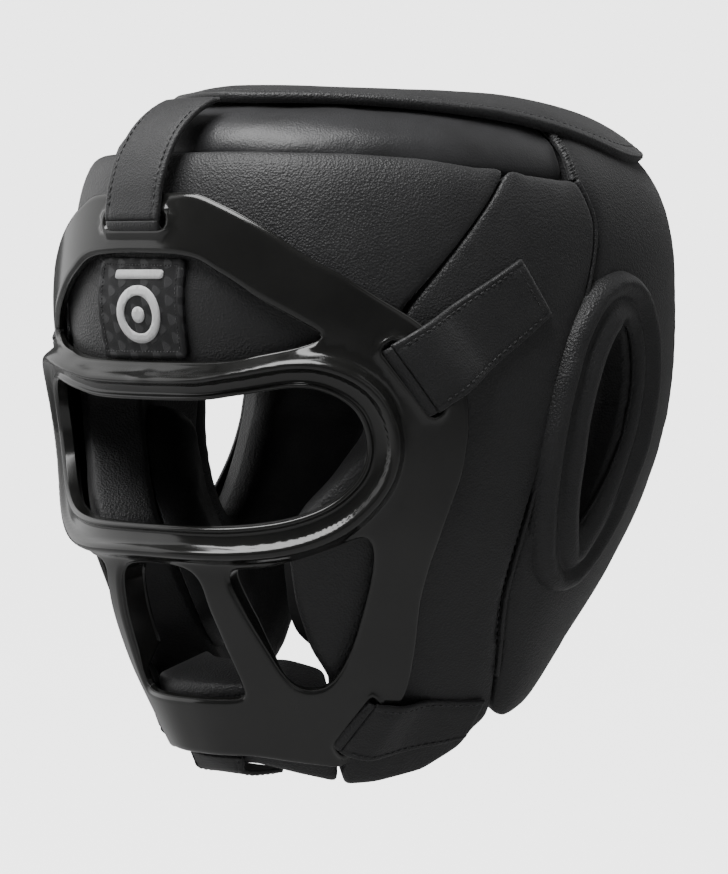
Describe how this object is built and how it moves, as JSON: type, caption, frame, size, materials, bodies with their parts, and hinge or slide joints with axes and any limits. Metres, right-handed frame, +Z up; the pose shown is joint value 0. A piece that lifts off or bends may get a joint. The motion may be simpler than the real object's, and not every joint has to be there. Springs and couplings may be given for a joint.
{
  "type": "boxing headgear",
  "caption": "Padded full-face boxing headgear with cheek, ear and crown cushions and a moulded face grill held on by straps.",
  "frame": {"origin": "centre of the head cavity at mid-height of the guard, on the wearer's middle plane", "axes": "+Z up, -Y the way the wearer faces, +X the wearer's left"},
  "size_m": [0.2392, 0.2762, 0.2766],
  "materials": {
    "guard_leather": "fine-grained satin",
    "crown_leather": "smooth satin",
    "foam": "closed-cell foam",
    "lining": "brushed",
    "grill_plastic": "gloss",
    "strap_leather": "satin, stitched",
    "ring_leather": "satin",
    "piping": "satin",
    "label_weave": "woven, tone on tone",
    "hook_tape": "napped"
  },
  "bodies": {
    "guard": {"cheek_pad_L": "guard_leather", "cheek_pad_R": "guard_leather", "chin_cover": "guard_leather", "chin_foam": "foam", "chin_lining": "lining", "crown_band": "crown_leather", "crown_rear_L": "guard_leather", "crown_rear_R": "guard_leather", "ear_bore_trim_L": "ring_leather", "ear_bore_trim_R": "ring_leather", "ear_cover_L": "guard_leather", "ear_cover_R": "guard_leather", "ear_foam_L": "foam", "ear_foam_R": "foam", "ear_lining_L": "lining", "ear_lining_R": "lining", "ear_ring_L": "ring_leather", "ear_ring_R": "ring_leather", "forehead_cover": "guard_leather", "forehead_foam": "foam", "forehead_label": "label_weave", "forehead_lining": "lining", "rear_cover_L": "guard_leather", "rear_cover_R": "guard_leather", "rear_foam_L": "foam", "rear_foam_R": "foam", "rear_lining_L": "lining", "rear_lining_R": "lining", "rear_loop_tape": "hook_tape", "seam_piping_L": "piping", "seam_piping_R": "piping", "side_cover_L": "guard_leather", "side_cover_R": "guard_leather", "side_foam_L": "foam", "side_foam_R": "foam", "side_lining_L": "lining", "side_lining_R": "lining", "temple_hook_tape_L": "hook_tape", "temple_hook_tape_R": "hook_tape", "top_cover": "guard_leather", "top_foam": "foam", "top_lining": "lining"},
    "grill": {"face_grill": "grill_plastic"},
    "front_strap": {"front_strap": "strap_leather"},
    "temple_strap_L": {"temple_strap_L": "strap_leather"},
    "temple_strap_R": {"temple_strap_R": "strap_leather"},
    "jaw_strap_L": {"jaw_strap_L": "strap_leather"},
    "jaw_strap_R": {"jaw_strap_R": "strap_leather"},
    "chin_strap": {"chin_strap": "strap_leather"},
    "rear_strap": {"rear_strap": "strap_leather"},
    "top_flap": {"top_flap": "guard_leather"}
  },
  "joints": [
    {"name": "grill_lift_off", "type": "slide", "parent": "guard", "child": "grill", "axis": [0, -1, 0], "range_m": [0, 0.12]},
    {"name": "front_strap_peel", "type": "hinge", "parent": "grill", "child": "front_strap", "pos_m": [0, -0.13236, 0.08828], "axis": [1, 0, 0], "range_deg": [0, 120]},
    {"name": "chin_strap_peel", "type": "hinge", "parent": "guard", "child": "chin_strap", "pos_m": [0, -0.0871, -0.12169], "axis": [-1, 0, 0], "range_deg": [0, 80]},
    {"name": "temple_strap_L_peel", "type": "hinge", "parent": "grill", "child": "temple_strap_L", "pos_m": [0.09664, -0.07853, 0.02816], "axis": [0.2868, 0.5292, -0.7986], "range_deg": [0, 110]},
    {"name": "jaw_strap_L_peel", "type": "hinge", "parent": "grill", "child": "jaw_strap_L", "pos_m": [0.05612, -0.06571, -0.10905], "axis": [-0.6127, -0.1816, -0.7691], "range_deg": [0, 110]},
    {"name": "temple_strap_R_peel", "type": "hinge", "parent": "grill", "child": "temple_strap_R", "pos_m": [-0.09664, -0.07853, 0.02816], "axis": [0.2868, -0.5292, 0.7986], "range_deg": [0, 110]},
    {"name": "jaw_strap_R_peel", "type": "hinge", "parent": "grill", "child": "jaw_strap_R", "pos_m": [-0.05612, -0.06571, -0.10905], "axis": [-0.6127, 0.1816, 0.7691], "range_deg": [0, 110]},
    {"name": "rear_strap_peel", "type": "hinge", "parent": "guard", "child": "rear_strap", "pos_m": [0.05597, 0.12526, 0.03889], "axis": [-0.0167, -0.0372, -0.9992], "range_deg": [0, 100]},
    {"name": "top_flap_open", "type": "hinge", "parent": "guard", "child": "top_flap", "pos_m": [-0.098, 0, 0.104], "axis": [0, -1, 0], "range_deg": [0, 60]}
  ]
}
